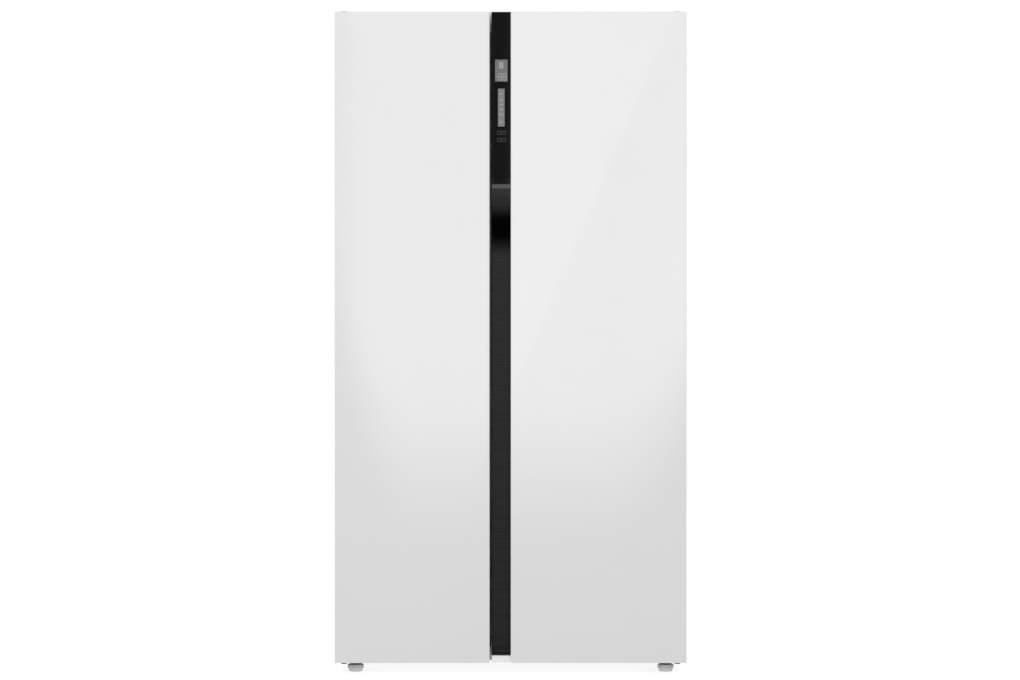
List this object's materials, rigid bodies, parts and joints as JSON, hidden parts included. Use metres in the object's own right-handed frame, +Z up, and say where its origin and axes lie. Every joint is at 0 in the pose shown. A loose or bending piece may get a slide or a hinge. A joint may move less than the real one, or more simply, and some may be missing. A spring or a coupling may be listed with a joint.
{
  "type": "side by side refrigerator",
  "caption": "Free-standing two-door cold storage cabinet, freezer left and fridge right, with glass doors and a recessed hand channel between them.",
  "frame": {"origin": "on the floor under the middle of the cabinet", "axes": "+Z up, doors face -Y, +X towards the fridge side"},
  "size_m": [0.911, 0.65, 1.7287],
  "materials": {
    "white_paint": "semi-gloss",
    "white_glass": "gloss",
    "white_plastic": "satin",
    "black_gloss": "gloss",
    "black_brushed": "brushed",
    "seal_rubber": "matte",
    "foam": "matte",
    "zinc_steel": "satin",
    "dark_paint": "satin",
    "dark_plastic": "satin",
    "aluminium": "satin",
    "clear_glass": "gloss",
    "clear_plastic": "gloss",
    "grey_plastic": "satin",
    "frost_plastic": "satin"
  },
  "bodies": {
    "cabinet": {"cabinet_shell": "white_paint", "back_panel": "white_paint", "base_pan": "zinc_steel", "insulation": "foam", "freezer_liner": "white_plastic", "fridge_liner": "white_plastic", "center_rail": "white_paint", "top_hinge_left": "zinc_steel", "top_hinge_right": "zinc_steel", "bottom_hinge_left": "zinc_steel", "bottom_hinge_right": "zinc_steel", "hinge_cover": "white_plastic", "freezer_back_cover": "white_plastic", "fridge_air_duct": "white_plastic", "evaporator": "aluminium", "compressor": "dark_paint", "condenser": "dark_paint", "drain_pan": "grey_plastic", "machine_cover": "grey_plastic", "freezer_shelf_1": "clear_glass", "freezer_shelf_2": "clear_glass", "freezer_shelf_3": "clear_glass", "fridge_shelf_1": "clear_glass", "fridge_shelf_2": "clear_glass", "fridge_shelf_3": "clear_glass", "crisper_cover": "clear_glass", "ice_maker_frame": "white_plastic", "ice_box": "clear_plastic"},
    "freezer_door": {"freezer_door_glass": "white_glass", "freezer_door_case": "white_paint", "freezer_door_foam": "foam", "freezer_door_liner": "white_plastic", "freezer_door_seal": "seal_rubber", "freezer_grip_trim": "black_brushed", "freezer_bin_1": "clear_plastic", "freezer_bin_2": "clear_plastic", "freezer_bin_3": "clear_plastic"},
    "fridge_door": {"fridge_door_glass": "white_glass", "fridge_door_case": "white_paint", "fridge_door_foam": "foam", "fridge_door_liner": "white_plastic", "fridge_door_seal": "seal_rubber", "handle_strip": "black_brushed", "control_panel": "black_gloss", "fridge_bin_1": "clear_plastic", "fridge_bin_2": "clear_plastic", "fridge_bin_3": "clear_plastic", "fridge_bin_4": "clear_plastic"},
    "dairy_lid": {"dairy_lid": "clear_plastic"},
    "freezer_drawer_upper": {"freezer_drawer_upper": "frost_plastic"},
    "freezer_drawer_lower": {"freezer_drawer_lower": "frost_plastic"},
    "crisper_upper": {"crisper_upper": "clear_plastic"},
    "crisper_lower": {"crisper_lower": "clear_plastic"},
    "ice_tray": {"ice_tray": "frost_plastic"},
    "evaporator_fan": {"evaporator_fan": "dark_plastic"},
    "condenser_fan": {"condenser_fan": "dark_plastic"},
    "leveling_foot_left": {"leveling_foot_left": "grey_plastic"},
    "leveling_foot_right": {"leveling_foot_right": "grey_plastic"},
    "rear_roller_left": {"rear_roller_left": "grey_plastic"},
    "rear_roller_right": {"rear_roller_right": "grey_plastic"}
  },
  "joints": [
    {"name": "door_freezer_hinge", "type": "hinge", "parent": "cabinet", "child": "freezer_door", "pos_m": [-0.4335, -0.298, 0.034], "axis": [0, 0, -1], "range_deg": [0, 125]},
    {"name": "door_fridge_hinge", "type": "hinge", "parent": "cabinet", "child": "fridge_door", "pos_m": [0.4335, -0.298, 0.034], "axis": [0, 0, 1], "range_deg": [0, 125]},
    {"name": "drawer_freezer_upper_slide", "type": "slide", "parent": "cabinet", "child": "freezer_drawer_upper", "axis": [0, -1, 0], "range_m": [0, 0.2]},
    {"name": "drawer_freezer_lower_slide", "type": "slide", "parent": "cabinet", "child": "freezer_drawer_lower", "axis": [0, -1, 0], "range_m": [0, 0.15]},
    {"name": "drawer_crisper_upper_slide", "type": "slide", "parent": "cabinet", "child": "crisper_upper", "axis": [0, -1, 0], "range_m": [0, 0.2]},
    {"name": "drawer_crisper_lower_slide", "type": "slide", "parent": "cabinet", "child": "crisper_lower", "axis": [0, -1, 0], "range_m": [0, 0.15]},
    {"name": "dairy_lid_lift", "type": "hinge", "parent": "fridge_door", "child": "dairy_lid", "pos_m": [0.2015, -0.2455, 1.37875], "axis": [1, 0, 0], "range_deg": [0, 85]},
    {"name": "ice_tray_twist", "type": "hinge", "parent": "cabinet", "child": "ice_tray", "pos_m": [-0.319, 0.008, 1.578], "axis": [0, 1, 0], "range_deg": [0, 120], "stiffness_Nm_per_rad": 0.05},
    {"name": "evaporator_fan_spin", "type": "hinge", "parent": "cabinet", "child": "evaporator_fan", "pos_m": [-0.24475, 0.22, 0.629], "axis": [0, 1, 0], "continuous": true},
    {"name": "condenser_fan_spin", "type": "hinge", "parent": "cabinet", "child": "condenser_fan", "pos_m": [-0.055, 0.2195, 0.132], "axis": [1, 0, 0], "continuous": true},
    {"name": "foot_left_turn", "type": "hinge", "parent": "cabinet", "child": "leveling_foot_left", "pos_m": [-0.4075, -0.235, 0], "axis": [0, 0, 1], "continuous": true},
    {"name": "foot_right_turn", "type": "hinge", "parent": "cabinet", "child": "leveling_foot_right", "pos_m": [0.4075, -0.235, 0], "axis": [0, 0, 1], "continuous": true},
    {"name": "roller_left_roll", "type": "hinge", "parent": "cabinet", "child": "rear_roller_left", "pos_m": [-0.3855, 0.275, 0.018], "axis": [1, 0, 0], "continuous": true},
    {"name": "roller_right_roll", "type": "hinge", "parent": "cabinet", "child": "rear_roller_right", "pos_m": [0.3855, 0.275, 0.018], "axis": [1, 0, 0], "continuous": true}
  ],
  "couplings": [
    {"joint": "drawer_freezer_upper_slide", "follows": "door_freezer_hinge", "m_per_rad": 0.0915},
    {"joint": "drawer_freezer_lower_slide", "follows": "door_freezer_hinge", "m_per_rad": 0.0685},
    {"joint": "drawer_crisper_upper_slide", "follows": "door_fridge_hinge", "m_per_rad": 0.0915},
    {"joint": "drawer_crisper_lower_slide", "follows": "door_fridge_hinge", "m_per_rad": 0.0685}
  ]
}
